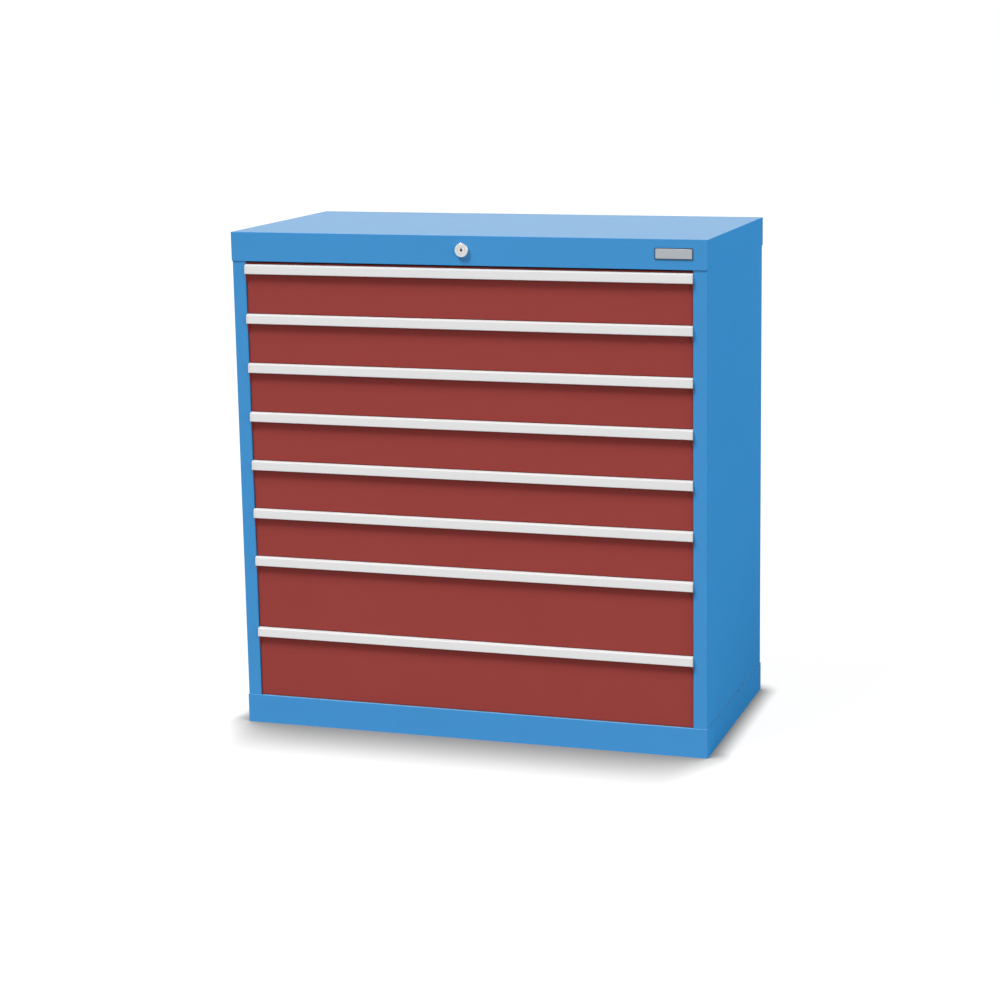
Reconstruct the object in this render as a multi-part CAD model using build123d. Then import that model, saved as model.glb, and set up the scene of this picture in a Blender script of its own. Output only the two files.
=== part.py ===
from build123d import *
import math
import os

# Industrial drawer cabinet: a folded sheet-steel housing with eight drawers on
# full-extension roller rails, and a central lock. All lengths are in millimetres.
# +X is to the right of someone who faces the drawers, +Y runs to the back, +Z is up.
# The origin is on the floor, in the middle of the overall box, handles and lock included.

# Housing
cabinet_width = 980.0
cabinet_depth = 500.0
cap_height = 58.0
base_height = 59.0
cover_sheet = 1.5
cover_edge_radius = 2.0
cover_rim_radius = 1.0
lintel_return = 16.0
lintel_end_gap = 0.5
wall_sheet = 1.25
wall_edge_radius = 1.6
post_width = 27.5
post_return = 16.0
wall_rear_flange = 20.0
wall_end_flange = 14.0
back_sheet = 1.0
back_edge_gap = 0.25

# Base: inward flanges on the floor, with a floor bolt near each corner
base_flange = 34.0
floor_hole_diameter = 11.0
floor_hole_from_side = 40.0
floor_hole_from_front = 20.0

# Drawer grid: the slot pitch, and the front heights from the top drawer down as shares of it
unit = 25.0
front_height_shares = (4, 4, 4, 4, 4, 4, 6, 6)
grid_gap_bottom = 0.5
grid_gap_top = 1.5

# Drawer fronts: each reaches from its handle's top edge down to the next front
front_recess = 3.0
front_gap = 1.0
front_gap_under_cap = 3.0
front_side_gap = 0.6
front_sheet = 1.5
front_return = 15.0
front_edge_radius = 0.5

# A folded ear under each end of a handle, down to the front
ear_depth = 6.5
ear_below_handle = 0.4
ear_foot = 42.0

# Handle strips and their end caps. The shares are of the handle's depth and height,
# out from the front and down from the handle's top edge.
handle_below_line = 4.8
handle_height = 19.6
handle_depth = 8.4
handle_wall = 1.3
handle_flange = 6.0
handle_end_gap = 0.5
handle_outline_shares = ((0, 0), (0.5, 0.04), (0.92, 0.15), (0.965, 0.5), (1, 0.9), (0.96, 0.975), (0.84, 1))
end_cap_depth = 9.0
end_cap_thickness = 2.5

# Drawer trays
tray_sheet = 1.2
space_behind_tray = 40.25
tray_above_line = 6.0
tray_below_top_line = 12.0
slit_width = 1.6
slit_height = 45.0
slit_top_margin = 8.0

# Roller rails: a channel on the housing, a roller plate, and a channel on the drawer
rail_above_line = 45.0
rail_behind_front = 4.0
rail_past_tray = 7.5
channel_sheet = 1.5
channel_depth = 9.0
roller_diameter = 20.0
roller_clearance = 0.3
roller_bore_clearance = 0.05
roller_end_gap = 0.6
roller_pin_diameter = 6.0
roller_inset = 15.0
plate_thickness = 2.0
plate_gap = 0.5
plate_height = 26.0
plate_end_inset = 5.0

# Slotted uprights that carry the housing channels
upright_sheet = 1.5
upright_width = 30.0
upright_from_rail_end = 8.0
slot_width = 4.0
slot_height = 12.0
hook_clearance = 0.3
hook_length = 5.0

# Lock on the cap, with a shaft to the back
lock_below_top = 27.8
rosette_diameter = 27.0
rosette_height = 6.0
rosette_edge_radius = 1.0
barrel_diameter = 22.0
barrel_length = 28.0
barrel_hole_clearance = 0.1
lock_nut_flats = 28.0
lock_nut_thickness = 5.0
plug_diameter = 16.0
plug_clearance = 0.05
plug_recess = 0.8
key_slot_width = 2.0
key_slot_height = 9.0
key_slot_depth = 14.0
shaft_diameter = 8.0
shaft_clearance = 0.05
crank_radius = 14.0
crank_width = 11.0
crank_thickness = 4.0
crank_half_turn = 45.0
crank_pin_diameter = 4.0
crank_pin_overhang = 2.0
crank_gap = 1.0
bearing_width = 18.0
bearing_gap = 2.0
bearing_end_gap = 3.0

# Lock bar behind the drawers, with one tooth for each drawer's catch
bar_width = 18.0
bar_thickness = 3.0
bar_behind_tray = 6.0
bar_shaft_gap = 1.0
bar_slot_side_gap = 0.5
bar_slot_rise_gap = 0.7
bar_end_margin = 12.0
tooth_length = 17.0
tooth_height = 8.0
tooth_below_lip = 4.0
guide_sheet = 2.0
guide_clearance = 0.4
guide_height = 12.0
guide_above_lip = 36.0
catch_above_tray = 30.0
catch_height = 24.0
catch_sheet = 2.0
catch_gap = 3.0
catch_lip_gap = 1.5

# Bare name plate on the cap
plate_width = 75.0
plate_face_height = 22.0
plate_face_thickness = 1.2
plate_corner_radius = 1.5
plate_rim = 1.0
plate_rim_depth = 0.4

overrun = 5.0

# Places that follow from the sizes above
front_overhang = max(end_cap_depth - front_recess - cover_sheet, rosette_height)
y_front = front_overhang / 2 - cabinet_depth / 2
y_rear = y_front + cabinet_depth
y_post = y_front + cover_sheet
y_body_rear = y_rear - cover_sheet
y_panel = y_post + front_recess
y_tray = y_panel + front_sheet
y_back_panel = y_body_rear - wall_sheet - back_sheet
y_tray_rear = y_back_panel - space_behind_tray
drawer_travel = y_tray_rear - y_tray - unit

cabinet_half = cabinet_width / 2
body_half = cabinet_half - cover_sheet
wall_inside = body_half - wall_sheet
opening_half = body_half - post_width
front_half = opening_half - front_side_gap
plate_outside = opening_half - channel_depth - plate_gap
plate_inside = plate_outside - plate_thickness
tray_half = plate_inside - plate_gap - channel_depth

drawer_count = len(front_height_shares)
grid_bottom = base_height + grid_gap_bottom
grid_top = grid_bottom + sum(front_height_shares) * unit
opening_top = grid_top + grid_gap_top
total_height = opening_top + cap_height
wall_top = total_height - cover_sheet

rail_front = y_panel + front_return + rail_behind_front
rail_rear = y_tray_rear + rail_past_tray
channel_inside = roller_diameter + 2 * roller_clearance
channel_height = channel_inside + 2 * channel_sheet
front_upright = rail_front + upright_from_rail_end
rear_upright = rail_rear - upright_from_rail_end - upright_width

lock_height = total_height - lock_below_top
crank_drop = crank_radius * math.sin(math.radians(crank_half_turn))
crank_inner_reach = crank_radius * math.cos(math.radians(crank_half_turn))
bar_y = y_tray_rear + bar_behind_tray
bar_right = -(shaft_diameter / 2 + bar_shaft_gap)
bar_left = bar_right - bar_width
catch_lip_y = bar_y + bar_thickness + catch_lip_gap


def block(x0, x1, y0, y1, z0, z1):
    """A box between two corners."""
    centre = Pos((x0 + x1) / 2, (y0 + y1) / 2, (z0 + z1) / 2)
    return centre * Box(x1 - x0, y1 - y0, z1 - z0)


def rod_y(diameter, x, z, y0, y1):
    """A round rod along Y."""
    return Pos(x, (y0 + y1) / 2, z) * Rot(90, 0, 0) * Cylinder(diameter / 2, y1 - y0)


def rod_x(diameter, y, z, x0, x1):
    """A round rod along X."""
    return Pos((x0 + x1) / 2, y, z) * Rot(0, 90, 0) * Cylinder(diameter / 2, x1 - x0)


def other_side(shape):
    """The same piece on the left of the cabinet."""
    return mirror(shape, about=Plane.YZ)


def line_below(number):
    """Height of the grid line under a drawer front; drawer 1 is the top one."""
    return grid_top - sum(front_height_shares[:number]) * unit


def line_above(number):
    return grid_top - sum(front_height_shares[:number - 1]) * unit


def tray_bottom(number):
    return line_below(number) + tray_above_line


def tray_top(number):
    return line_above(number) - tray_below_top_line


def handle_top(number):
    return line_above(number) - handle_below_line


def front_top(number):
    """The highest front reaches up under the cap; the others end level with their handles."""
    return opening_top - front_gap_under_cap if number == 1 else handle_top(number)


def front_bottom(number):
    """The lowest front ends above the base."""
    return max(line_below(number) - handle_below_line, base_height) + front_gap


def catch_lip(number):
    """Height of the lower edge of a drawer's catch."""
    return tray_bottom(number) + catch_above_tray


def rounded_block(x0, x1, y0, y1, z0, z1, side_radius, top_radius):
    """A box with its four upright edges and its top rim rounded."""
    solid = block(x0, x1, y0, y1, z0, z1)
    solid = fillet(solid.edges().filter_by(Axis.Z), side_radius)
    return fillet(solid.faces().sort_by(Axis.Z)[-1].edges(), top_radius)


def top_cover():
    cover = rounded_block(-cabinet_half, cabinet_half, y_front, y_rear, opening_top, total_height,
                          cover_edge_radius, cover_rim_radius)
    cover -= block(-body_half, body_half, y_post, y_body_rear, opening_top - overrun, wall_top)
    lintel_half = opening_half - lintel_end_gap
    cover += block(-lintel_half, lintel_half, y_front, y_front + lintel_return,
                   opening_top, opening_top + cover_sheet)
    hole = barrel_diameter + 2 * barrel_hole_clearance
    return cover - rod_y(hole, 0, lock_height, y_front - overrun, y_front + overrun)


def base_tray():
    base = rounded_block(-cabinet_half, cabinet_half, y_front, y_rear, 0, base_height,
                         cover_edge_radius, cover_rim_radius)
    base -= block(-body_half, body_half, y_post, y_body_rear, cover_sheet, base_height - cover_sheet)
    base -= block(-cabinet_half + base_flange, cabinet_half - base_flange,
                  y_front + base_flange, y_rear - base_flange, -overrun, cover_sheet)
    hole_x = cabinet_half - floor_hole_from_side
    for x in (-hole_x, hole_x):
        for y in (y_front + floor_hole_from_front, y_rear - floor_hole_from_front):
            base -= Pos(x, y, 0) * Cylinder(floor_hole_diameter / 2, 2 * overrun)
    return base


def right_side_wall():
    """A folded wall whose front edge forms the visible post."""
    wall = block(wall_inside, body_half, y_post, y_body_rear, base_height, wall_top)
    wall += block(opening_half, body_half, y_post, y_post + wall_sheet, base_height, wall_top)
    wall += block(opening_half, opening_half + wall_sheet, y_post, y_post + post_return,
                  base_height, wall_top)
    wall += block(body_half - wall_rear_flange, body_half, y_body_rear - wall_sheet, y_body_rear,
                  base_height, wall_top)
    wall += block(wall_inside - wall_end_flange, body_half, y_post + post_return, y_back_panel,
                  base_height, base_height + wall_sheet)
    upright_edges = wall.edges().filter_by(Axis.Z)
    outer_edges = [edge for edge in upright_edges if edge.center().X > body_half - wall_sheet / 2]
    return fillet(outer_edges, wall_edge_radius)


def bar_guide(bottom):
    """A sheet bracket on the back panel that the lock bar slides through."""
    left = bar_left - guide_clearance
    right = bar_right + guide_clearance
    front = bar_y - guide_clearance
    behind = bar_y + bar_thickness + guide_clearance
    top = bottom + guide_height
    guide = block(left - guide_sheet, left, front - guide_sheet, y_back_panel, bottom, top)
    guide += block(right, right + guide_sheet, front - guide_sheet, y_back_panel, bottom, top)
    guide += block(left, right, front - guide_sheet, front, bottom, top)
    guide += block(left, right, behind, behind + guide_sheet, bottom, top)
    return guide


def shaft_bearing():
    """A block on the back panel with the bore for the end of the lock shaft."""
    front = bar_y + bar_thickness + crank_pin_overhang + bearing_gap
    half = bearing_width / 2
    bearing = block(-half, half, front, y_back_panel, lock_height - half, lock_height + half)
    bore = shaft_diameter + 2 * shaft_clearance
    return bearing - rod_y(bore, 0, lock_height, front - overrun, y_back_panel - bearing_end_gap / 2)


def back_panel():
    half = wall_inside - back_edge_gap
    panel = block(-half, half, y_back_panel, y_back_panel + back_sheet, base_height, wall_top)
    for number in (1, drawer_count // 2, drawer_count):
        panel += bar_guide(catch_lip(number) + guide_above_lip)
    return panel + shaft_bearing()


def slot_heights():
    """Centres of the upright's slots: one for each unit of the grid, level with the rails."""
    first = grid_bottom + rail_above_line
    below = int((first - base_height - wall_sheet - slot_height) // unit)
    above = int((grid_top - first) // unit)
    return [first + unit * step for step in range(-below, above + 1)]


def upright(front):
    """A channel along the wall, slotted on its inner face, standing on the wall's flange."""
    bottom = base_height + wall_sheet
    rear = front + upright_width
    post = block(opening_half, opening_half + upright_sheet, front, rear, bottom, wall_top)
    post += block(opening_half, wall_inside, front, front + upright_sheet, bottom, wall_top)
    post += block(opening_half, wall_inside, rear - upright_sheet, rear, bottom, wall_top)
    middle = front + upright_width / 2
    slots = [block(opening_half - overrun, opening_half + overrun,
                   middle - slot_width / 2, middle + slot_width / 2,
                   height - slot_height / 2, height + slot_height / 2) for height in slot_heights()]
    return post - slots


def slotted_uprights():
    right = [upright(front_upright), upright(rear_upright)]
    return Compound(children=right + [other_side(post) for post in right])


def channel(web_x, open_to, height):
    """A rail channel along Y: its web's back at web_x, its flanges towards open_to (1 or -1)."""
    low = height - channel_height / 2
    high = height + channel_height / 2

    def across(start, end, bottom, top):
        first = web_x + open_to * start
        second = web_x + open_to * end
        return block(min(first, second), max(first, second), rail_front, rail_rear, bottom, top)

    rail = across(0, channel_sheet, low, high)
    rail += across(0, channel_depth, low, low + channel_sheet)
    return rail + across(0, channel_depth, high - channel_sheet, high)


def housing_channel(number):
    """The channel on the uprights, with a hook through a slot of each."""
    height = line_below(number) + rail_above_line
    rail = channel(opening_half, -1, height)
    half_width = slot_width / 2 - hook_clearance
    half_height = slot_height / 2 - hook_clearance
    for front in (front_upright, rear_upright):
        middle = front + upright_width / 2
        rail += block(opening_half - channel_sheet, opening_half + hook_length,
                      middle - half_width, middle + half_width,
                      height - half_height, height + half_height)
    return rail


def cabinet_rails():
    right = [housing_channel(number) for number in range(1, drawer_count + 1)]
    return Compound(children=right + [other_side(rail) for rail in right])


def drawer_rails(number):
    right = channel(tray_half, 1, line_below(number) + rail_above_line)
    return Compound(children=[right, other_side(right)])


def middle_rails(number):
    """A plate on each side, with two rollers in the housing's channel and two in the drawer's."""
    height = line_below(number) + rail_above_line
    front = rail_front + plate_end_inset
    rear = rail_rear - plate_end_inset
    roller_spread = rear - front - 2 * roller_inset - (drawer_travel + roller_diameter) / 2
    plate = block(plate_inside, plate_outside, front, rear,
                  height - plate_height / 2, height + plate_height / 2)
    pin_end = channel_depth - channel_sheet + plate_gap - roller_end_gap
    roller_end = pin_end - roller_end_gap / 2
    rollers = []
    outward = [rear - roller_inset, rear - roller_inset - roller_spread]
    inward = [front + roller_inset, front + roller_inset + roller_spread]
    for y in outward:
        plate += rod_x(roller_pin_diameter, y, height, plate_inside, plate_outside + pin_end)
        roller = rod_x(roller_diameter, y, height,
                       plate_outside + roller_clearance, plate_outside + roller_end)
        bore = roller_pin_diameter + 2 * roller_bore_clearance
        rollers.append(roller - rod_x(bore, y, height, plate_inside, plate_outside + channel_depth))
    for y in inward:
        plate += rod_x(roller_pin_diameter, y, height, plate_inside - pin_end, plate_outside)
        roller = rod_x(roller_diameter, y, height,
                       plate_inside - roller_end, plate_inside - roller_clearance)
        bore = roller_pin_diameter + 2 * roller_bore_clearance
        rollers.append(roller - rod_x(bore, y, height, plate_inside - channel_depth, plate_outside))
    right = [plate] + rollers
    return Compound(children=right + [other_side(piece) for piece in right])


def catch(number):
    """A bracket on the back of a tray: the bar's tooth rises between the tray and its lip."""
    left = bar_right + catch_gap
    right = bar_right + tooth_length
    low = catch_lip(number)
    top = low + catch_height
    bracket = block(left, right, y_tray_rear - tray_sheet, catch_lip_y + catch_sheet, top - catch_sheet, top)
    return bracket + block(left, right, catch_lip_y, catch_lip_y + catch_sheet, low, top)


def drawer_tray(number):
    """An open steel tray, slit at the front and back for dividers."""
    low = tray_bottom(number)
    top = tray_top(number)
    tray = block(-tray_half, tray_half, y_tray, y_tray_rear, low, top)
    tray -= block(-tray_half + tray_sheet, tray_half - tray_sheet,
                  y_tray + tray_sheet, y_tray_rear - tray_sheet, low + tray_sheet, top + overrun)
    slits = []
    count = int((tray_half - unit) // (2 * unit))
    for step in range(-count - 1, count + 1):
        x = (2 * step + 1) * unit
        slit_top = top - slit_top_margin
        for y in (y_tray, y_tray_rear - tray_sheet):
            slits.append(block(x - slit_width / 2, x + slit_width / 2,
                               y - overrun / 2, y + tray_sheet + overrun / 2,
                               slit_top - slit_height, slit_top))
    return tray - slits + catch(number)


def drawer_front(number):
    """A pan of folded sheet that covers the front of a tray, with an ear under each handle end."""
    low = front_bottom(number)
    top = front_top(number)
    front = block(-front_half, front_half, y_panel, y_panel + front_return, low, top)
    front = fillet(front.faces().sort_by(Axis.Y)[0].edges(), front_edge_radius)
    front -= block(-front_half + front_sheet, front_half - front_sheet,
                   y_tray, y_panel + front_return + overrun, low + front_sheet, top - front_sheet)
    ear_top = handle_top(number) - handle_height - ear_below_handle
    foot = handle_top(number) - ear_foot
    outline = Polyline((y_tray, ear_top), (y_panel - ear_depth, ear_top), (y_panel, foot),
                       (y_tray, foot), close=True)
    start = front_half - front_edge_radius - front_sheet
    ear = extrude(Plane.YZ * Pos(0, 0, start) * make_face(outline), amount=front_sheet)
    return front + ear + other_side(ear)


def handle_point(shares, depth, number):
    """A point of a handle's outline, out from the front and down from the handle's top edge."""
    out, down = shares
    return (y_panel - out * depth, handle_top(number) - down * handle_height)


def handle_section(depth, number):
    """The outline of a strip or an end cap as a face, and the points it goes through."""
    points = [handle_point(shares, depth, number) for shares in handle_outline_shares]
    outline = ThreePointArc(points[0], points[1], points[2])
    outline += ThreePointArc(points[2], points[3], points[4])
    outline += ThreePointArc(points[4], points[5], points[6])
    outline += Polyline(points[6], (y_panel, points[6][1]), points[0])
    return make_face(outline), points


def handle_strip(number):
    """A grip strip: fixed by its rear flange, and open below for the fingertips."""
    section, points = handle_section(handle_depth, number)
    top = points[0][1]
    low = points[-1][1]
    inside = offset(section, amount=-handle_wall)
    mouth_front = points[-1][0] + handle_wall
    mouth_depth = y_panel + overrun - mouth_front
    mouth_height = top - handle_flange - low + overrun
    mouth = Pos(mouth_front + mouth_depth / 2, top - handle_flange - mouth_height / 2)
    profile = section - inside - mouth * Rectangle(mouth_depth, mouth_height)
    half = opening_half - handle_end_gap - end_cap_thickness
    return extrude(Plane.YZ * Pos(0, 0, -half) * profile, amount=2 * half)


def handle_end_caps(number):
    """End caps that close the strip at its two ends."""
    section = handle_section(end_cap_depth, number)[0]
    start = opening_half - handle_end_gap - end_cap_thickness
    right = extrude(Plane.YZ * Pos(0, 0, start) * section, amount=end_cap_thickness)
    return Compound(children=[right, other_side(right)])


def lock_housing():
    """The rosette and its barrel, with the nut that clamps them behind the cap."""
    face = y_front - rosette_height
    rosette = rod_y(rosette_diameter, 0, lock_height, face, y_front)
    rosette = fillet(rosette.faces().sort_by(Axis.Y)[0].edges(), rosette_edge_radius)
    body = rosette + rod_y(barrel_diameter, 0, lock_height, y_front, y_front + barrel_length)
    bore = plug_diameter + 2 * plug_clearance
    body -= rod_y(bore, 0, lock_height, face - overrun, y_front + barrel_length + overrun)
    hexagon = RegularPolygon(lock_nut_flats / 2, 6, major_radius=False)
    nut_front = Plane.XZ.offset(-y_post)
    nut = extrude(nut_front * Pos(0, lock_height) * hexagon, amount=-lock_nut_thickness)
    hole = barrel_diameter + 2 * barrel_hole_clearance
    nut -= rod_y(hole, 0, lock_height, y_front, y_post + lock_nut_thickness + overrun)
    return Compound(children=[body, nut])


def lock_plug():
    face = y_front - rosette_height + plug_recess
    plug = rod_y(plug_diameter, 0, lock_height, face, y_front + barrel_length)
    return plug - block(-key_slot_width / 2, key_slot_width / 2, face - overrun, face + key_slot_depth,
                        lock_height - key_slot_height / 2, lock_height + key_slot_height / 2)


def lock_shaft():
    """The rod behind the plug, with the crank that lifts the bar, turned down at rest."""
    shaft = rod_y(shaft_diameter, 0, lock_height, y_front + barrel_length, y_back_panel - bearing_end_gap)
    crank_rear = bar_y - crank_gap
    turned = Pos(0, 0, lock_height) * Rot(0, -crank_half_turn, 0)
    arm = block(-crank_radius, 0, crank_rear - crank_thickness, crank_rear, -crank_width / 2, crank_width / 2)
    arm += rod_y(crank_width, -crank_radius, 0, crank_rear - crank_thickness, crank_rear)
    arm += rod_y(crank_pin_diameter, -crank_radius, 0, crank_rear,
                 bar_y + bar_thickness + crank_pin_overhang)
    return shaft + turned * arm


def lock_bar():
    """A flat bar with a tooth under each catch and a slot for the crank's pin."""
    pin_height = lock_height - crank_drop
    lowest = catch_lip(drawer_count) - tooth_below_lip - tooth_height
    bar = block(bar_left, bar_right, bar_y, bar_y + bar_thickness, lowest, pin_height + bar_end_margin)
    for number in range(1, drawer_count + 1):
        top = catch_lip(number) - tooth_below_lip
        bar += block(bar_left, bar_right + tooth_length, bar_y, bar_y + bar_thickness,
                     top - tooth_height, top)
    reach = crank_pin_diameter / 2 + bar_slot_side_gap
    half_height = crank_pin_diameter / 2 + bar_slot_rise_gap
    return bar - block(-crank_radius - reach, -crank_inner_reach + reach, bar_y - overrun, bar_y + overrun,
                       pin_height - half_height, pin_height + half_height)


def name_plate():
    """A bare plate with a raised rim, its right edge level with the opening's."""
    x0 = opening_half - plate_width
    low = lock_height - plate_face_height / 2
    face = y_front - plate_face_thickness
    plate = block(x0, opening_half, face, y_front, low, low + plate_face_height)
    plate = fillet(plate.edges().filter_by(Axis.Y), plate_corner_radius)
    return plate - block(x0 + plate_rim, opening_half - plate_rim, face - overrun, face + plate_rim_depth,
                         low + plate_rim, low + plate_face_height - plate_rim)


os.makedirs("parts", exist_ok=True)
right_wall = right_side_wall()
export_step(top_cover(), "parts/top_cover.step")
export_step(base_tray(), "parts/base_tray.step")
export_step(right_wall, "parts/right_side_wall.step")
export_step(other_side(right_wall), "parts/left_side_wall.step")
export_step(back_panel(), "parts/back_panel.step")
export_step(slotted_uprights(), "parts/slotted_uprights.step")
export_step(cabinet_rails(), "parts/cabinet_rails.step")
export_step(lock_housing(), "parts/lock_housing.step")
export_step(lock_plug(), "parts/lock_plug.step")
export_step(lock_shaft(), "parts/lock_shaft.step")
export_step(lock_bar(), "parts/lock_bar.step")
export_step(name_plate(), "parts/name_plate.step")
for drawer in range(1, drawer_count + 1):
    export_step(drawer_tray(drawer), f"parts/drawer_tray_{drawer}.step")
    export_step(drawer_front(drawer), f"parts/drawer_front_{drawer}.step")
    export_step(handle_strip(drawer), f"parts/handle_strip_{drawer}.step")
    export_step(handle_end_caps(drawer), f"parts/handle_end_caps_{drawer}.step")
    export_step(drawer_rails(drawer), f"parts/drawer_rails_{drawer}.step")
    export_step(middle_rails(drawer), f"parts/middle_rails_{drawer}.step")
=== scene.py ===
import math
import bpy
import bmesh
from mathutils import Matrix, Vector


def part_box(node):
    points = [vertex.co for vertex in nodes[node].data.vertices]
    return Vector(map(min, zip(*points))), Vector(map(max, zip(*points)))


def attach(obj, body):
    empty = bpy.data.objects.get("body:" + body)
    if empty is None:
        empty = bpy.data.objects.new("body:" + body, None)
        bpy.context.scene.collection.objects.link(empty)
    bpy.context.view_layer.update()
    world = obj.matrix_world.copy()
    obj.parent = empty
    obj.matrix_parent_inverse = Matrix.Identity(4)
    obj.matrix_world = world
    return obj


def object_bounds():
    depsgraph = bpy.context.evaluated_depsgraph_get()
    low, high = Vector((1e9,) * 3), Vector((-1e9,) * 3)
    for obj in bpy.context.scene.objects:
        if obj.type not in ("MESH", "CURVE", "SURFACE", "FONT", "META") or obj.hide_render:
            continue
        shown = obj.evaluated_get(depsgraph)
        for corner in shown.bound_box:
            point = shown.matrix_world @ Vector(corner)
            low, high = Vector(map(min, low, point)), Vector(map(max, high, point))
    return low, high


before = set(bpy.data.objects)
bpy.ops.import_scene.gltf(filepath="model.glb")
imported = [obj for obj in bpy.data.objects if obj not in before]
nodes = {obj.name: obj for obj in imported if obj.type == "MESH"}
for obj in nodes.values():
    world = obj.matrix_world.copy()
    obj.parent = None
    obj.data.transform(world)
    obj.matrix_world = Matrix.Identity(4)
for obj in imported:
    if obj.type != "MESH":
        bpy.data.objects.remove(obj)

cad_low, cad_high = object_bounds()
MM = 0.001
X_AXIS = Vector((1, 0, 0))
Y_AXIS = Vector((0, 1, 0))
Z_AXIS = Vector((0, 0, 1))

# Camera: the photograph's view, fitted to the cabinet's corners and edges
CAMERA_PLACE = Vector((1.4885, -4.4964, 1.4366))
CAMERA_AZIMUTH = math.radians(16.948)
CAMERA_ELEVATION = math.radians(11.031)
CAMERA_ROLL = math.radians(-0.685)
CAMERA_LENS = 83.41
CAMERA_SENSOR = 36.0
CAMERA_SHIFT = (-0.0599, -0.0331)
CAMERA_SIGHT = 200.0

# Colours, as linear light
HOUSING_BLUE = (0.031, 0.243, 0.556)
FRONT_RED = (0.258, 0.0427, 0.0373)
TRAY_GREY = (0.52, 0.53, 0.52)
HANDLE_GREY = (0.635, 0.635, 0.635)
END_CAP_GREY = (0.61, 0.61, 0.61)
ZINC = (0.66, 0.67, 0.66)
NICKEL = (0.68, 0.675, 0.66)
PLATE_RIM = (0.03, 0.045, 0.07)
PLATE_FACE = (0.40, 0.42, 0.45)
# Black of a disc behind the keyhole: painted shade inside the keyhole
KEYHOLE_SHADE_BLACK = (0.02, 0.02, 0.02)

# Painted light on a finish by where its faces look: its colour, and how much of it there is on the faces
# that look up and on those that look ahead. It starts where a face's normal has this share along the axis.
# On the housing it is a painted reflection, paler on top and a little hazier on the front; on the handles
# and end caps it is painted shade on their top edges.
HOUSING_PAINTED_REFLECTION = ((0.375, 0.338, 0.212), 0.36, 0.06)
HANDLE_PAINTED_SHADE = ((0.30, 0.30, 0.30), 0.5, 0)
PAINTED_LIGHT_FROM = 0.6

# Powder paint: how far its colour and roughness vary, and the bumps of its sheet and its surface
PAINT_SPREAD = 0.025
PAINT_COLOUR_SCALE = 7
PAINT_ROUGHNESS_SPREAD = 0.03
PAINT_ROUGHNESS_SCALE = 22
SHEET_WAVE_SCALE = 3.2
SHEET_WAVE_STRENGTH = 0.25
SHEET_WAVE_DEPTH = 1.2 * MM
ORANGE_PEEL_SCALE = 620
ORANGE_PEEL_STRENGTH = 0.10
ORANGE_PEEL_DEPTH = 0.12 * MM

# Plated metal
METAL_SPREAD = 0.05
METAL_SMOOTHER = 0.06
METAL_ROUGHER = 0.08
METAL_GRAIN_SCALE = 300
METAL_GRAIN_STRENGTH = 0.12
METAL_GRAIN_DEPTH = 0.08 * MM

# Lacquer, moulded plastic, and the black of the keyhole's painted shade
MOULDED_SPREAD = 0.012
MOULDED_COLOUR_SCALE = 9
MOULDED_ROUGHNESS_SPREAD = 0.03
MOULDED_GRAIN_SCALE = 900
MOULDED_GRAIN_STRENGTH = 0.12
MOULDED_GRAIN_DEPTH = 0.1 * MM

# How a grain is stretched
EVEN = (1, 1, 1)
DRAWN = 0.02
ALONG_X = (DRAWN, 1, 1)
ALONG_Y = (1, DRAWN, 1)
ALONG_Z = (1, 1, DRAWN)

# Sockets of the colour Mix node, which has several of each name
MIX_FACTOR = 0
MIX_FIRST = 6
MIX_SECOND = 7
MIX_RESULT = 2


def new_material(name):
    """An empty node material with a Principled shader, and its tree and shader."""
    material = bpy.data.materials.new(name)
    material.use_nodes = True
    tree = material.node_tree
    tree.nodes.clear()
    out = tree.nodes.new("ShaderNodeOutputMaterial")
    shader = tree.nodes.new("ShaderNodeBsdfPrincipled")
    tree.links.new(shader.outputs["BSDF"], out.inputs["Surface"])
    return material, tree, shader


def node(tree, kind, **values):
    """A shader node; a value goes to the input of that name, or else to the property."""
    made = tree.nodes.new(kind)
    for key, value in values.items():
        if key in made.inputs:
            made.inputs[key].default_value = value
        else:
            setattr(made, key, value)
    return made


def feed(tree, socket, value):
    """Gives a socket its value: a node's output, a plain colour or a plain number."""
    if isinstance(value, bpy.types.NodeSocket):
        tree.links.new(value, socket)
    elif isinstance(value, tuple):
        socket.default_value = (*value, 1)
    else:
        socket.default_value = value


def maths(tree, operation, *values):
    """The result of a Math node; each value is a node's output or a plain number."""
    made = node(tree, "ShaderNodeMath", operation=operation)
    for socket, value in zip(made.inputs, values):
        feed(tree, socket, value)
    return made.outputs[0]


def mixed(tree, factor, first, second):
    """A colour that goes from the first to the second as the factor goes from 0 to 1."""
    made = node(tree, "ShaderNodeMix", data_type="RGBA")
    for place, value in ((MIX_FACTOR, factor), (MIX_FIRST, first), (MIX_SECOND, second)):
        feed(tree, made.inputs[place], value)
    return made.outputs[MIX_RESULT]


def between(tree, value, low, high, start=0, end=1, kind="LINEAR"):
    """Goes from low to high as the value goes from start to end, and stays there."""
    made = node(tree, "ShaderNodeMapRange", interpolation_type=kind)
    for key, number in (("From Min", start), ("From Max", end), ("To Min", low), ("To Max", high)):
        made.inputs[key].default_value = number
    tree.links.new(value, made.inputs["Value"])
    return made.outputs["Result"]


def noise(tree, scale, detail, stretch=EVEN):
    """Noise in the piece's own metres; stretch squeezes the pattern along an axis."""
    place = node(tree, "ShaderNodeTexCoord")
    mapping = node(tree, "ShaderNodeMapping", Scale=stretch)
    texture = node(tree, "ShaderNodeTexNoise", Scale=scale, Detail=detail)
    tree.links.new(place.outputs["Object"], mapping.inputs["Vector"])
    tree.links.new(mapping.outputs["Vector"], texture.inputs["Vector"])
    return texture.outputs["Fac"]


def varied(tree, factor, colour, spread):
    """The colour, darkened and lightened by a share of itself as the factor goes from 0 to 1."""
    darker = tuple(part * (1 - spread) for part in colour)
    lighter = tuple(min(1, part * (1 + spread)) for part in colour)
    return mixed(tree, factor, darker, lighter)


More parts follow.
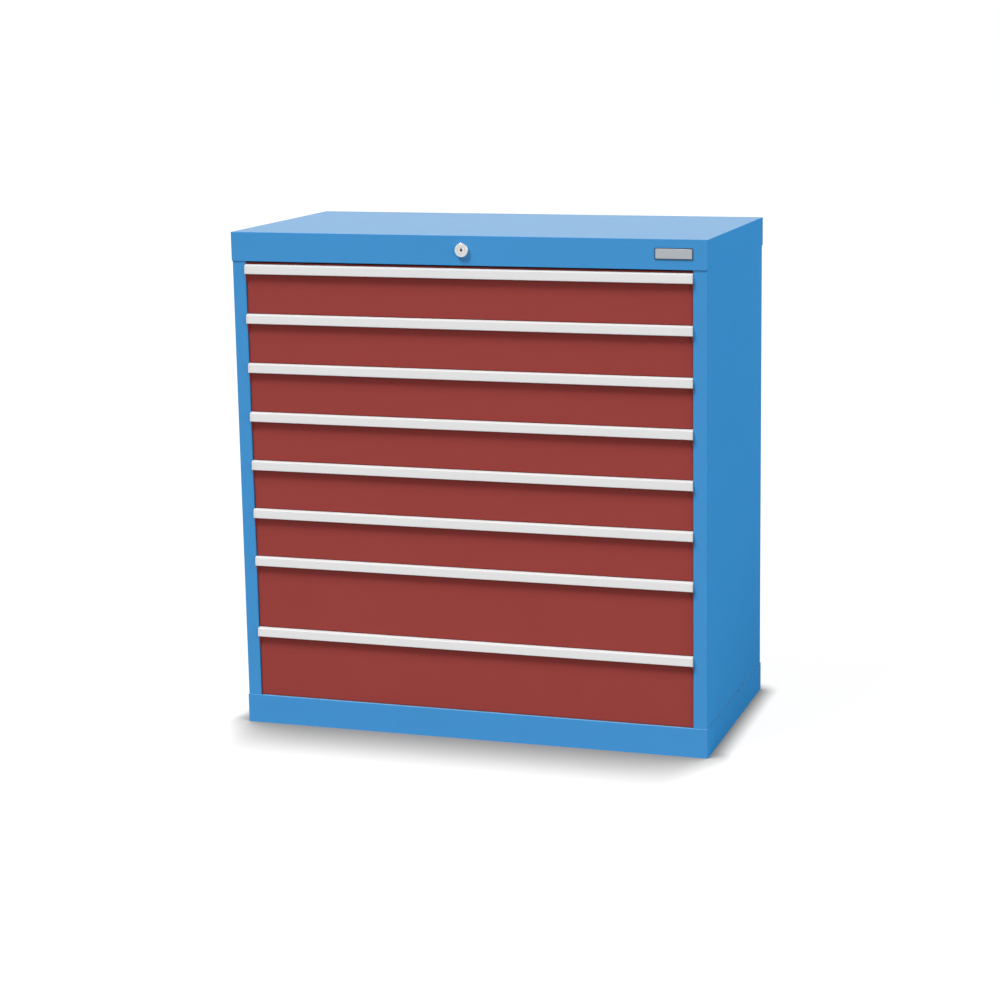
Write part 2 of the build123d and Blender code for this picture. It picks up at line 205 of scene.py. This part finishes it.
def bump(tree, shader, heights):
    """Bumps stacked on each other; each height is (factor, strength, depth in metres)."""
    last = None
    for factor, strength, depth in heights:
        made = node(tree, "ShaderNodeBump", Strength=strength, Distance=depth)
        tree.links.new(factor, made.inputs["Height"])
        if last:
            tree.links.new(last.outputs["Normal"], made.inputs["Normal"])
        last = made
    tree.links.new(last.outputs["Normal"], shader.inputs["Normal"])


def with_painted_light(tree, paint, painted_light):
    """The paint with painted light mixed into the faces that look up or ahead: a colour by where a face
    looks, lighter or darker as light would make it.
    """
    if painted_light is None:
        return paint
    colour, above, ahead = painted_light
    parts = node(tree, "ShaderNodeSeparateXYZ")
    tree.links.new(node(tree, "ShaderNodeNewGeometry").outputs["Normal"], parts.inputs[0])
    forward = maths(tree, "MULTIPLY", parts.outputs["Y"], -1)
    share = maths(tree, "ADD", between(tree, parts.outputs["Z"], 0, above, start=PAINTED_LIGHT_FROM),
                  between(tree, forward, 0, ahead, start=PAINTED_LIGHT_FROM))
    return mixed(tree, share, paint, colour)


def powder_coat(name, colour, roughness, specular, painted_light=None):
    """Baked powder paint: a fine orange peel over sheet that is slightly wavy."""
    material, tree, shader = new_material(name)
    paint = varied(tree, noise(tree, PAINT_COLOUR_SCALE, detail=3), colour, PAINT_SPREAD)
    feed(tree, shader.inputs["Base Color"], with_painted_light(tree, paint, painted_light))
    shader.inputs["Specular IOR Level"].default_value = specular
    feed(tree, shader.inputs["Roughness"],
         between(tree, noise(tree, PAINT_ROUGHNESS_SCALE, detail=4),
                 roughness - PAINT_ROUGHNESS_SPREAD, roughness + PAINT_ROUGHNESS_SPREAD))
    bump(tree, shader, [(noise(tree, SHEET_WAVE_SCALE, detail=1), SHEET_WAVE_STRENGTH, SHEET_WAVE_DEPTH),
                        (noise(tree, ORANGE_PEEL_SCALE, detail=2), ORANGE_PEEL_STRENGTH, ORANGE_PEEL_DEPTH)])
    return material


def metal(name, colour, roughness, grain=EVEN, scale=METAL_GRAIN_SCALE, strength=METAL_GRAIN_STRENGTH):
    """Plated metal with a drawn or rolled grain."""
    material, tree, shader = new_material(name)
    lines = noise(tree, scale, detail=3, stretch=grain)
    feed(tree, shader.inputs["Base Color"], varied(tree, lines, colour, METAL_SPREAD))
    feed(tree, shader.inputs["Roughness"],
         between(tree, lines, roughness - METAL_SMOOTHER, roughness + METAL_ROUGHER))
    shader.inputs["Metallic"].default_value = 1.0
    bump(tree, shader, [(lines, strength, METAL_GRAIN_DEPTH)])
    return material


def moulded(name, colour, roughness, grain=EVEN, scale=MOULDED_GRAIN_SCALE, specular=0.5, painted_light=None):
    """Lacquered extrusion, moulded plastic, or the black disc of painted shade behind the keyhole, with a
    fine surface grain.
    """
    material, tree, shader = new_material(name)
    lines = noise(tree, scale, detail=2, stretch=grain)
    plain_colour = varied(tree, noise(tree, MOULDED_COLOUR_SCALE, detail=2, stretch=grain), colour,
                          MOULDED_SPREAD)
    feed(tree, shader.inputs["Base Color"], with_painted_light(tree, plain_colour, painted_light))
    feed(tree, shader.inputs["Roughness"],
         between(tree, lines, roughness - MOULDED_ROUGHNESS_SPREAD, roughness + MOULDED_ROUGHNESS_SPREAD))
    shader.inputs["Specular IOR Level"].default_value = specular
    bump(tree, shader, [(lines, MOULDED_GRAIN_STRENGTH, MOULDED_GRAIN_DEPTH)])
    return material


# The housing's paint has a painted reflection: paler on the top, a little hazier on the front
paint_housing = powder_coat("housing_blue", HOUSING_BLUE, roughness=0.62, specular=0.01, painted_light=HOUSING_PAINTED_REFLECTION)
paint_front = powder_coat("front_red_brown", FRONT_RED, roughness=0.55, specular=0.06)
paint_tray = powder_coat("tray_grey", TRAY_GREY, roughness=0.4, specular=0.5)
# The handle and its end caps have painted shade on their up-facing top edges
handle_finish = moulded("handle_lacquer", HANDLE_GREY, roughness=0.5, grain=ALONG_X, scale=1400,
                        specular=0.3, painted_light=HANDLE_PAINTED_SHADE)
cap_finish = moulded("end_cap_plastic", END_CAP_GREY, roughness=0.5, painted_light=HANDLE_PAINTED_SHADE)
zinc_rail = metal("zinc_rail", ZINC, roughness=0.32, grain=ALONG_Y)
zinc_post = metal("zinc_post", ZINC, roughness=0.34, grain=ALONG_Z)
nickel = metal("satin_nickel", NICKEL, roughness=0.24, scale=700, strength=0.05)
plate_rim = moulded("plate_rim", PLATE_RIM, roughness=0.4)
# A black disc behind the keyhole paints the shade inside it
keyhole_shade_finish = moulded("painted_keyhole_shade", KEYHOLE_SHADE_BLACK, roughness=0.6, specular=0.2)
plate_face = metal("plate_face", PLATE_FACE, roughness=0.4, grain=ALONG_X, scale=900, strength=0.06)

NODE_FINISH = {
    "top_cover": paint_housing, "base_tray": paint_housing, "left_side_wall": paint_housing,
    "right_side_wall": paint_housing, "back_panel": paint_housing, "slotted_uprights": zinc_post,
    "cabinet_rails": zinc_rail, "lock_housing": nickel, "lock_plug": nickel, "lock_shaft": zinc_rail,
    "lock_bar": zinc_post, "name_plate": plate_rim,
    "drawer_tray": paint_tray, "drawer_front": paint_front, "handle_strip": handle_finish,
    "handle_end_caps": cap_finish, "drawer_rails": zinc_rail, "middle_rails": zinc_rail,
}


def finish_of(name):
    """A node's finish; the drawers' nodes end in the drawer's number."""
    stem = name.rstrip("0123456789").rstrip("_")
    return NODE_FINISH.get(name) or NODE_FINISH[stem]


for name, obj in nodes.items():
    obj.data.materials.clear()
    obj.data.materials.append(finish_of(name))

# Small pieces that only the picture needs. Each is built from rings of points, joined one to the
# next, and closed over its last ring.
RING_POINTS = 48
SHARP_ANGLE = math.radians(35)
NEARLY_ZERO = 1e-6

# Pan head with a hexagonal socket, and a rivet: radius and height of each ring, as shares
HEAD_SHARES = ((1, 0), (1, 0.35), (0.94, 0.7), (0.8, 0.92), (0.6, 1), (0.5, 1))
SOCKET_SHARES = ((0.42, 0.96), (0.42, 0.3))
RIVET_SHARES = ((1, 0), (0.97, 0.3), (0.85, 0.62), (0.62, 0.86), (0.3, 0.98), (0.1, 1))


def plain(radius):
    """A circle, as its distance from the middle by angle."""
    return lambda angle: radius


def hexagonal(radius):
    """A hexagon, as its distance from the middle by angle; the radius is of the circle inside it."""
    sixth = math.pi / 3
    return lambda angle: radius / math.cos(angle % sixth - sixth / 2)


def ring(centre, axis, reach, height):
    """Points around a level axis; reach gives their distance from it by angle, upwards at a
    quarter turn."""
    across = Z_AXIS.cross(axis)
    points = []
    for step in range(RING_POINTS):
        angle = 2 * math.pi * step / RING_POINTS
        away = (across * math.cos(angle) + Z_AXIS * math.sin(angle)) * reach(angle)
        points.append(centre + axis * height + away)
    return points


def add_rings(mesh, rings, closed=True):
    """Joins each ring of points to the next with faces, and closes the last ring if asked."""
    made = [[mesh.verts.new(point) for point in points] for points in rings]
    for first, second in zip(made, made[1:]):
        for step in range(len(first)):
            following = (step + 1) % len(first)
            mesh.faces.new((first[step], first[following], second[following], second[step]))
    if closed:
        mesh.faces.new(made[-1])


def add_head(mesh, centre, axis, radius, height):
    """A screw's head that stands on the centre."""
    rings = [ring(centre, axis, plain(radius * out), height * up) for out, up in HEAD_SHARES]
    rings += [ring(centre, axis, hexagonal(radius * out), height * up) for out, up in SOCKET_SHARES]
    add_rings(mesh, rings)


def add_rivet(mesh, centre, axis, radius, height):
    """A rivet's head that stands on the centre."""
    add_rings(mesh, [ring(centre, axis, plain(radius * out), height * up) for out, up in RIVET_SHARES])


def new_piece(name, mesh, finish, body):
    """Makes a mesh a piece of the scene, which rides on a body."""
    data = bpy.data.meshes.new(name)
    bmesh.ops.recalc_face_normals(mesh, faces=mesh.faces)
    mesh.to_mesh(data)
    mesh.free()
    for face in data.polygons:
        face.use_smooth = True
    data.set_sharp_from_angle(angle=SHARP_ANGLE)
    data.materials.append(finish)
    obj = bpy.data.objects.new(name, data)
    bpy.context.scene.collection.objects.link(obj)
    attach(obj, body)


# Screws through the walls' rear flanges into the back panel
BACK_SCREW_RADIUS = 4.5 * MM
BACK_SCREW_HEIGHT = 1.3 * MM
BACK_SCREW_FROM_EDGE = 10.0 * MM
BACK_SCREW_SHARES = (0.04, 0.22, 0.41, 0.59, 0.78, 0.96)


def back_screws(side):
    """One wall's row; side is 1 for the right wall and -1 for the left."""
    name = "right_side_wall" if side > 0 else "left_side_wall"
    low, high = (Vector(corner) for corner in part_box(name))
    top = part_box("top_cover")[0][2]
    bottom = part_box("base_tray")[1][2]
    x = (high.x if side > 0 else low.x) - side * BACK_SCREW_FROM_EDGE
    mesh = bmesh.new()
    for share in BACK_SCREW_SHARES:
        place = Vector((x, high.y, bottom + share * (top - bottom)))
        add_head(mesh, place, Y_AXIS, BACK_SCREW_RADIUS, BACK_SCREW_HEIGHT)
    new_piece(name.replace("side_wall", "back_screws"), mesh, zinc_rail, "root")


# Screws from inside a tray into its front, and the rivets that hold its rails
TRAY_SHEET = 1.2 * MM
FRONT_SCREW_RADIUS = 4.2 * MM
FRONT_SCREW_HEIGHT = 2.2 * MM
FRONT_SCREW_OUTER = 400 * MM
FRONT_SCREW_INNER = 150 * MM
FRONT_SCREW_PLACES = (-FRONT_SCREW_OUTER, -FRONT_SCREW_INNER, FRONT_SCREW_INNER, FRONT_SCREW_OUTER)
FRONT_SCREW_BELOW_TOP = 30 * MM
RIVET_RADIUS = 3.6 * MM
RIVET_HEIGHT = 1.4 * MM
RIVET_ABOVE_TRAY = 39 * MM
RIVET_DEPTH_SHARES = (0.08, 0.36, 0.64, 0.92)
DRAWER_COUNT = sum(name.startswith("drawer_tray_") for name in nodes)


def tray_fixings(number):
    """The screws and rivets of one drawer's tray."""
    body = f"drawer_{number}"
    low, high = (Vector(corner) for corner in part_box(f"drawer_tray_{number}"))
    # The catch stands behind the tray, so the rails give the tray's depth
    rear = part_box(f"drawer_rails_{number}")[1][1]
    screws = bmesh.new()
    for x in FRONT_SCREW_PLACES:
        place = Vector((x, low.y + TRAY_SHEET, high.z - FRONT_SCREW_BELOW_TOP))
        add_head(screws, place, Y_AXIS, FRONT_SCREW_RADIUS, FRONT_SCREW_HEIGHT)
    new_piece(f"front_screws_{number}", screws, zinc_rail, body)
    rivets = bmesh.new()
    for x, inward in ((low.x + TRAY_SHEET, X_AXIS), (high.x - TRAY_SHEET, -X_AXIS)):
        for share in RIVET_DEPTH_SHARES:
            place = Vector((x, low.y + share * (rear - low.y), low.z + RIVET_ABOVE_TRAY))
            add_rivet(rivets, place, inward, RIVET_RADIUS, RIVET_HEIGHT)
    new_piece(f"rail_rivets_{number}", rivets, zinc_rail, body)


# Lock: a bright face over the plug with a keyhole, and a black disc behind the hole as painted shade inside
# the keyhole
PLUG_FACE_RADIUS = 7.7 * MM
PLUG_FACE_HEIGHT = 0.6 * MM
PLUG_FACE_EDGE = 0.25 * MM
KEYHOLE_RADIUS = 2.6 * MM
KEYHOLE_SLIT_HALF = 0.9 * MM
KEYHOLE_SLIT_TOP = 5.2 * MM
KEYHOLE_SHADE_RADIUS = 5.4 * MM
KEYHOLE_SHADE_HEIGHT = 0.2 * MM


def keyhole(angle):
    """Distance from the middle to the keyhole's edge: a round hole with a slit upwards."""
    side = max(abs(math.cos(angle)), NEARLY_ZERO)
    up = math.sin(angle)
    if up <= 0:
        return KEYHOLE_RADIUS
    return max(KEYHOLE_RADIUS, min(KEYHOLE_SLIT_TOP / up, KEYHOLE_SLIT_HALF / side))


def lock_face():
    """The plug's face, and a black disc of painted shade behind the keyhole, on the front of the plug."""
    low, high = (Vector(corner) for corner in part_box("lock_plug"))
    front = Vector(((low.x + high.x) / 2, low.y, (low.z + high.z) / 2))
    outer = plain(PLUG_FACE_RADIUS)
    inner = plain(PLUG_FACE_RADIUS - PLUG_FACE_EDGE)
    face = bmesh.new()
    add_rings(face, [ring(front, -Y_AXIS, outer, 0),
                     ring(front, -Y_AXIS, outer, PLUG_FACE_HEIGHT - PLUG_FACE_EDGE),
                     ring(front, -Y_AXIS, inner, PLUG_FACE_HEIGHT),
                     ring(front, -Y_AXIS, keyhole, PLUG_FACE_HEIGHT),
                     ring(front, -Y_AXIS, keyhole, 0)], closed=False)
    new_piece("lock_plug_face", face, nickel, "lock")
    shade_disc = bmesh.new()
    add_rings(shade_disc, [ring(front, -Y_AXIS, plain(KEYHOLE_SHADE_RADIUS), 0),
                        ring(front, -Y_AXIS, plain(KEYHOLE_SHADE_RADIUS), KEYHOLE_SHADE_HEIGHT)])
    new_piece("lock_keyhole_shade", shade_disc, keyhole_shade_finish, "lock")


# Name plate: a bare bright face inside the dark rim
PLATE_FACE_MARGIN = 1.8 * MM
PLATE_FACE_LOWEST = 0.35 * MM
PLATE_FACE_HEIGHT = 0.25 * MM
PLATE_CORNER = 0.8 * MM
PLATE_CORNER_STEPS = 6

# The side of each corner, right or left and upper or lower, in turn around the plate
CORNER_SIDES = ((1, 1), (-1, 1), (-1, -1), (1, -1))


def rounded(centre, half_width, half_height, height):
    """Points around a rectangle with rounded corners that faces the front."""
    points = []
    for quarter, (right, upper) in enumerate(CORNER_SIDES):
        for step in range(PLATE_CORNER_STEPS):
            angle = math.pi / 2 * (quarter + step / (PLATE_CORNER_STEPS - 1))
            x = right * (half_width - PLATE_CORNER) + PLATE_CORNER * math.cos(angle)
            z = upper * (half_height - PLATE_CORNER) + PLATE_CORNER * math.sin(angle)
            points.append(centre + X_AXIS * x + Z_AXIS * z - Y_AXIS * height)
    return points


def plate():
    """The name plate's face, with a small bevel."""
    low, high = (Vector(corner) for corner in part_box("name_plate"))
    half_width = (high.x - low.x) / 2 - PLATE_FACE_MARGIN
    half_height = (high.z - low.z) / 2 - PLATE_FACE_MARGIN
    middle = Vector(((low.x + high.x) / 2, low.y + PLATE_FACE_LOWEST, (low.z + high.z) / 2))
    edge = PLATE_FACE_HEIGHT / 2
    mesh = bmesh.new()
    add_rings(mesh, [rounded(middle, half_width, half_height, 0),
                     rounded(middle, half_width, half_height, edge),
                     rounded(middle, half_width - edge, half_height - edge, PLATE_FACE_HEIGHT)])
    new_piece("name_plate_face", mesh, plate_face, "root")


back_screws(1)
back_screws(-1)
for number in range(1, DRAWER_COUNT + 1):
    tray_fixings(number)
lock_face()
plate()

# Floor: pale, and white to the camera where nothing shades it. Its shade is long in front of
# the cabinet and short beside and behind it.
FLOOR_HALF = 30.0
FLOOR_ROUGHNESS = 0.9
FLOOR_ALBEDO = 0.42
FLOOR_SEEN_SHARE = 0.21
FRONT_SHADE_REACH = 0.225
SIDE_SHADE_REACH = 0.045
SHADE_CORNER = 0.06
SHADE_POWER = 2.4
FLOOR_GLOW = 0.95


def seen_directly(tree):
    """1 for the camera, for reflections and through glass, and 0 for the light on other things."""
    path = node(tree, "ShaderNodeLightPath")
    value = path.outputs["Is Camera Ray"]
    for other in ("Is Glossy Ray", "Is Transmission Ray"):
        value = maths(tree, "MAXIMUM", value, path.outputs[other])
    return value


def shade_reach(tree):
    """How far away things shade the floor; it depends on the place on the floor."""
    parts = node(tree, "ShaderNodeSeparateXYZ")
    tree.links.new(node(tree, "ShaderNodeTexCoord").outputs["Object"], parts.inputs[0])
    from_middle = maths(tree, "ABSOLUTE", parts.outputs["X"])
    side = cad_high[0]
    front = cad_low[1]
    inside = between(tree, from_middle, 1, 0, start=side - SHADE_CORNER, end=side + SHADE_CORNER,
                     kind="SMOOTHSTEP")
    ahead = between(tree, parts.outputs["Y"], 1, 0, start=front, end=front + SHADE_CORNER,
                    kind="SMOOTHSTEP")
    return between(tree, maths(tree, "MULTIPLY", inside, ahead), SIDE_SHADE_REACH, FRONT_SHADE_REACH)


def floor():
    mesh = bpy.data.meshes.new("floor")
    corners = [(-FLOOR_HALF, -FLOOR_HALF, 0), (FLOOR_HALF, -FLOOR_HALF, 0),
               (FLOOR_HALF, FLOOR_HALF, 0), (-FLOOR_HALF, FLOOR_HALF, 0)]
    mesh.from_pydata(corners, [], [(0, 1, 2, 3)])
    plane = bpy.data.objects.new("floor", mesh)
    bpy.context.scene.collection.objects.link(plane)
    material, tree, shader = new_material("floor")
    surface = shader.outputs["BSDF"].links[0].to_socket
    seen = seen_directly(tree)
    feed(tree, shader.inputs["Base Color"],
         between(tree, seen, FLOOR_ALBEDO, FLOOR_ALBEDO * FLOOR_SEEN_SHARE))
    shader.inputs["Roughness"].default_value = FLOOR_ROUGHNESS
    shader.inputs["Specular IOR Level"].default_value = 0
    shade = node(tree, "ShaderNodeAmbientOcclusion")
    tree.links.new(shade_reach(tree), shade.inputs["Distance"])
    deeper = maths(tree, "POWER", shade.outputs["AO"], SHADE_POWER)
    glow = node(tree, "ShaderNodeEmission")
    tree.links.new(maths(tree, "MULTIPLY", maths(tree, "MULTIPLY", deeper, FLOOR_GLOW), seen),
                   glow.inputs["Strength"])
    both = node(tree, "ShaderNodeAddShader")
    tree.links.new(shader.outputs["BSDF"], both.inputs[0])
    tree.links.new(glow.outputs["Emission"], both.inputs[1])
    tree.links.new(both.outputs["Shader"], surface)
    mesh.materials.append(material)


# Light: a dim even sky and three soft suns. Each has a direction that it shines from, its
# strength and its width in degrees.
SKY_LIGHT = 0.10
SUNS = {
    "key": ((-0.95, -1.00, 2.30), 4.40, 20),
    "fill": ((0.95, -0.30, 0.12), 3.10, 80),
    "back": ((-0.30, 0.95, 0.12), 2.05, 75),
}


def sky():
    """White to the camera and in reflections, and dim as a light."""
    world = bpy.data.worlds.new("studio")
    bpy.context.scene.world = world
    world.use_nodes = True
    tree = world.node_tree
    tree.nodes.clear()
    out = tree.nodes.new("ShaderNodeOutputWorld")
    background = node(tree, "ShaderNodeBackground")
    background.inputs["Color"].default_value = (1, 1, 1, 1)
    feed(tree, background.inputs["Strength"], between(tree, seen_directly(tree), SKY_LIGHT, 1))
    tree.links.new(background.outputs["Background"], out.inputs["Surface"])


def sun(name, towards, strength, spread_deg):
    """A sun in the direction of a vector, as wide as a softbox."""
    lamp = bpy.data.lights.new(name, "SUN")
    lamp.energy = strength
    lamp.angle = math.radians(spread_deg)
    obj = bpy.data.objects.new(name, lamp)
    obj.rotation_mode = "QUATERNION"
    obj.rotation_quaternion = Vector(towards).to_track_quat("Z", "Y")
    bpy.context.scene.collection.objects.link(obj)


def camera():
    """The photograph's view: turned by azimuth and elevation, then rolled."""
    a, e, r = CAMERA_AZIMUTH, CAMERA_ELEVATION, CAMERA_ROLL
    ahead = Vector((-math.sin(a) * math.cos(e), math.cos(a) * math.cos(e), -math.sin(e)))
    level = Vector((math.cos(a), math.sin(a), 0))
    upright = level.cross(ahead)
    right = level * math.cos(r) + upright * math.sin(r)
    up = upright * math.cos(r) - level * math.sin(r)
    data = bpy.data.cameras.new("camera")
    data.sensor_width = CAMERA_SENSOR
    data.lens = CAMERA_LENS
    data.shift_x, data.shift_y = CAMERA_SHIFT
    data.clip_end = CAMERA_SIGHT
    obj = bpy.data.objects.new("camera", data)
    turn = Matrix((right, up, -ahead)).transposed()
    obj.matrix_world = Matrix.Translation(CAMERA_PLACE) @ turn.to_4x4()
    bpy.context.scene.collection.objects.link(obj)
    bpy.context.scene.camera = obj


floor()
sky()
for name, (towards, strength, spread_deg) in SUNS.items():
    sun(name, towards, strength, spread_deg)
camera()
bpy.context.scene.view_settings.view_transform = "Standard"
